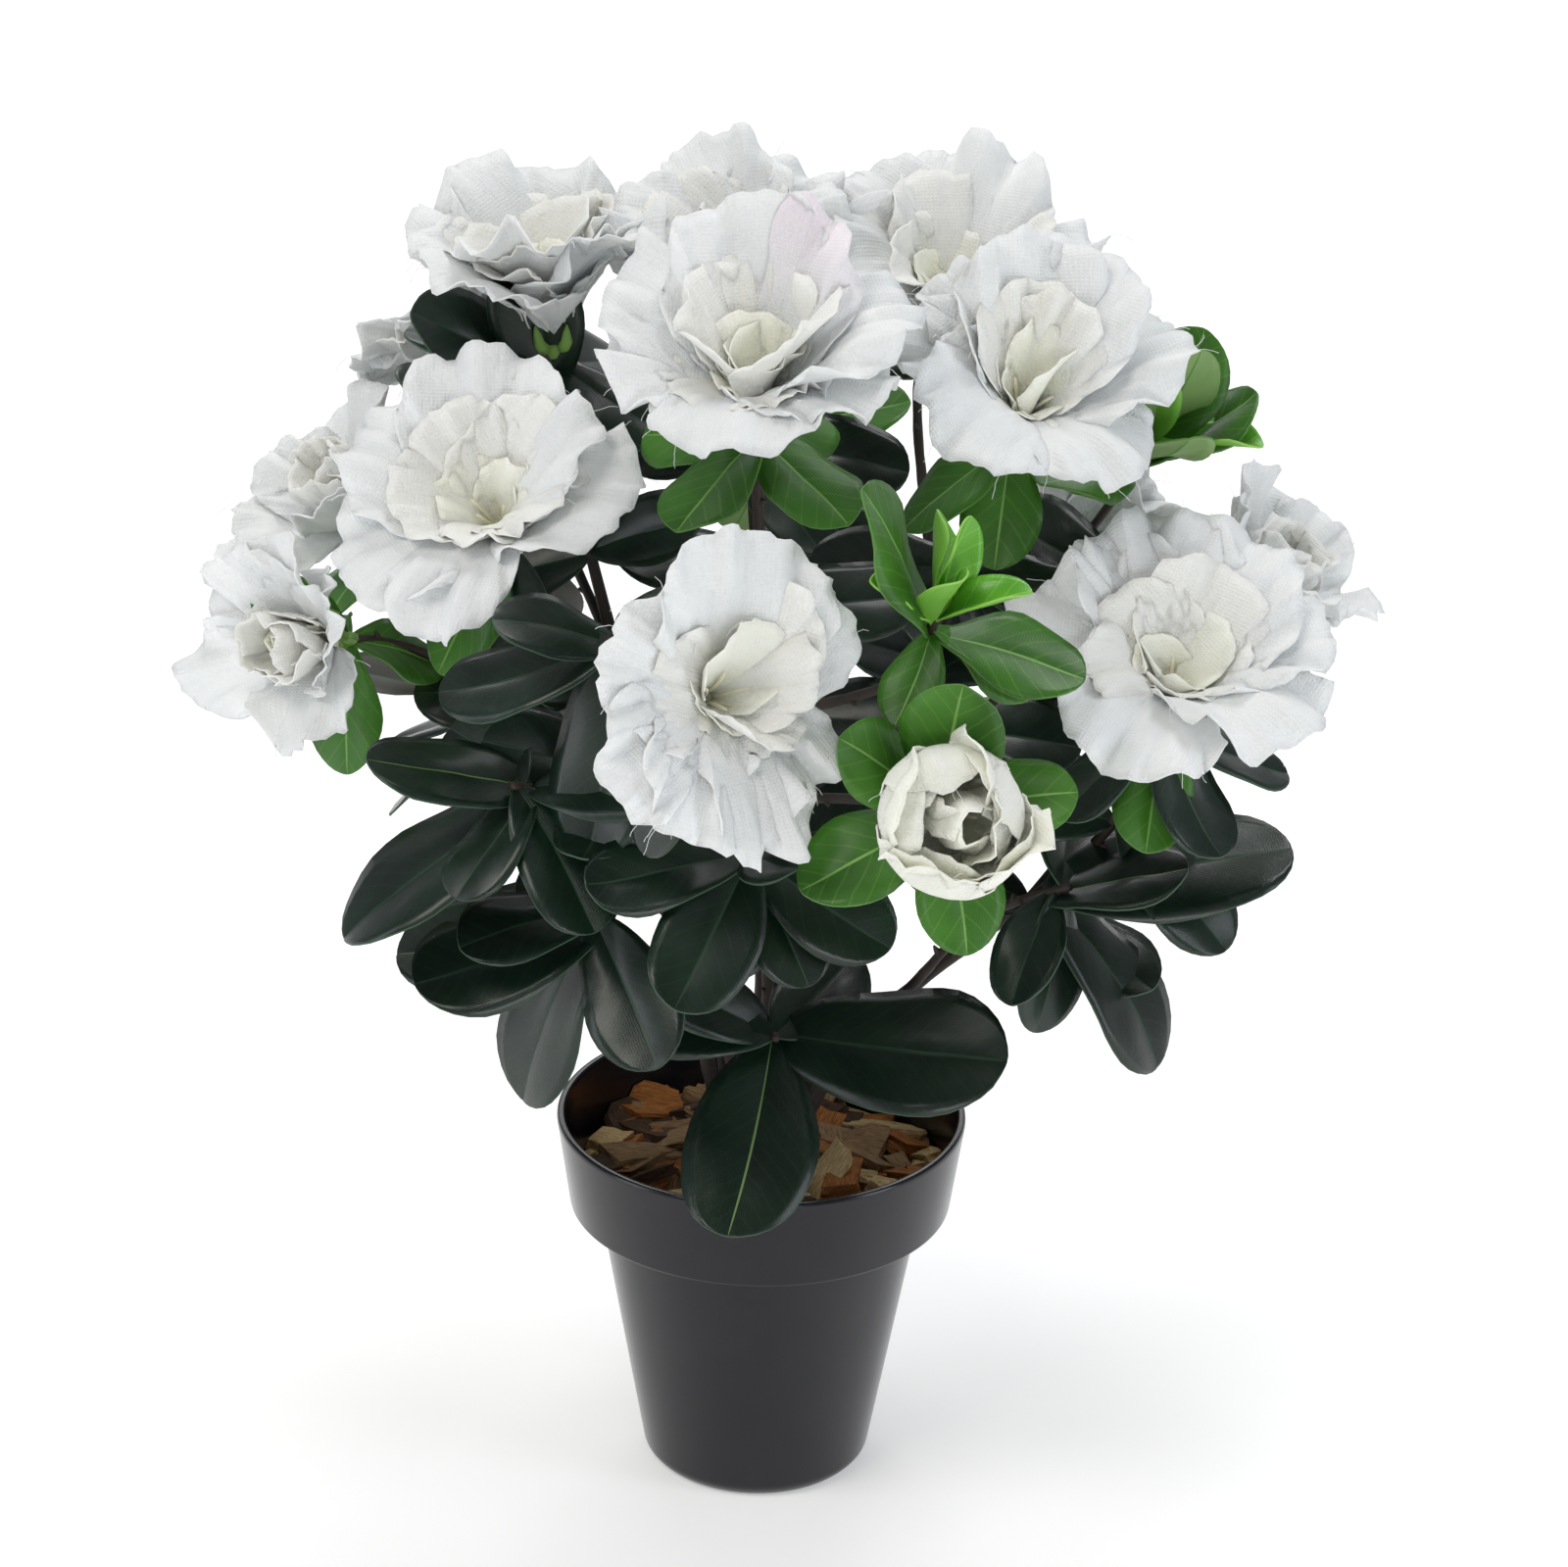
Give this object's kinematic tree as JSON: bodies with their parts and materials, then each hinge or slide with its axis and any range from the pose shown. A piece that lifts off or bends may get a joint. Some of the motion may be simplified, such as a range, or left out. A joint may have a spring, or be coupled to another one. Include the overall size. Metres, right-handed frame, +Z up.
{
  "type": "artificial azalea in a pot",
  "caption": "Artificial azalea: white fabric blossoms and dark and light green fabric leaves on plastic stems, set in a banded dark grey pot under wood chips.",
  "frame": {"origin": "centre of the pot's flat underside", "axes": "+Z up the pot's axis, -Y towards the front of the plant, +X to its right"},
  "size_m": [0.3467, 0.3285, 0.4053],
  "materials": {
    "pot_plastic": "gloss",
    "filling": "matte",
    "wood_chips": "matte",
    "stem_plastic": "matte",
    "leaf_fabric": "satin",
    "blossom_fabric": "matte"
  },
  "bodies": {
    "root": {"blossom_back_centre": "blossom_fabric", "blossom_back_centre_top": "blossom_fabric", "blossom_back_left_high": "blossom_fabric", "blossom_back_left_low": "blossom_fabric", "blossom_back_left_top": "blossom_fabric", "blossom_back_right_low": "blossom_fabric", "blossom_back_right_top": "blossom_fabric", "blossom_front": "blossom_fabric", "blossom_front_bud": "blossom_fabric", "blossom_left_far": "blossom_fabric", "blossom_left_low": "blossom_fabric", "blossom_left_shoulder": "blossom_fabric", "blossom_right_far": "blossom_fabric", "blossom_right_shoulder": "blossom_fabric", "blossom_top_centre": "blossom_fabric", "blossom_top_right": "blossom_fabric", "branch_back_centre": "stem_plastic", "branch_back_centre_leaves": "stem_plastic", "branch_back_left_high": "stem_plastic", "branch_back_left_leaves": "stem_plastic", "branch_back_left_low": "stem_plastic", "branch_back_right_leaves": "stem_plastic", "branch_back_right_top": "stem_plastic", "branch_centre_leaves": "stem_plastic", "branch_foot_leaves": "stem_plastic", "branch_front_bud": "stem_plastic", "branch_front_shoot": "stem_plastic", "branch_left_far": "stem_plastic", "branch_left_leaves": "stem_plastic", "branch_left_low": "stem_plastic", "branch_left_low_leaves": "stem_plastic", "branch_right_far": "stem_plastic", "branch_right_high_shoots": "stem_plastic", "branch_right_leaves": "stem_plastic", "branch_upper_left_leaves": "stem_plastic", "branch_upper_right_leaves": "stem_plastic", "filling": "filling", "leaves_back_centre_leaves": "leaf_fabric", "leaves_back_left_leaves": "leaf_fabric", "leaves_back_right_leaves": "leaf_fabric", "leaves_centre_leaves": "leaf_fabric", "leaves_foot_leaves": "leaf_fabric", "leaves_front_shoot": "leaf_fabric", "leaves_left_leaves": "leaf_fabric", "leaves_left_low_leaves": "leaf_fabric", "leaves_right_high_shoots": "leaf_fabric", "leaves_right_leaves": "leaf_fabric", "leaves_upper_left_leaves": "leaf_fabric", "leaves_upper_right_leaves": "leaf_fabric", "pot": "pot_plastic", "stem_1": "stem_plastic", "stem_2": "stem_plastic", "stem_3": "stem_plastic", "stem_4": "stem_plastic", "stem_5": "stem_plastic", "stem_6": "stem_plastic", "stem_7": "stem_plastic", "stem_8": "stem_plastic", "wood_chips": "wood_chips"}
  },
  "joints": []
}
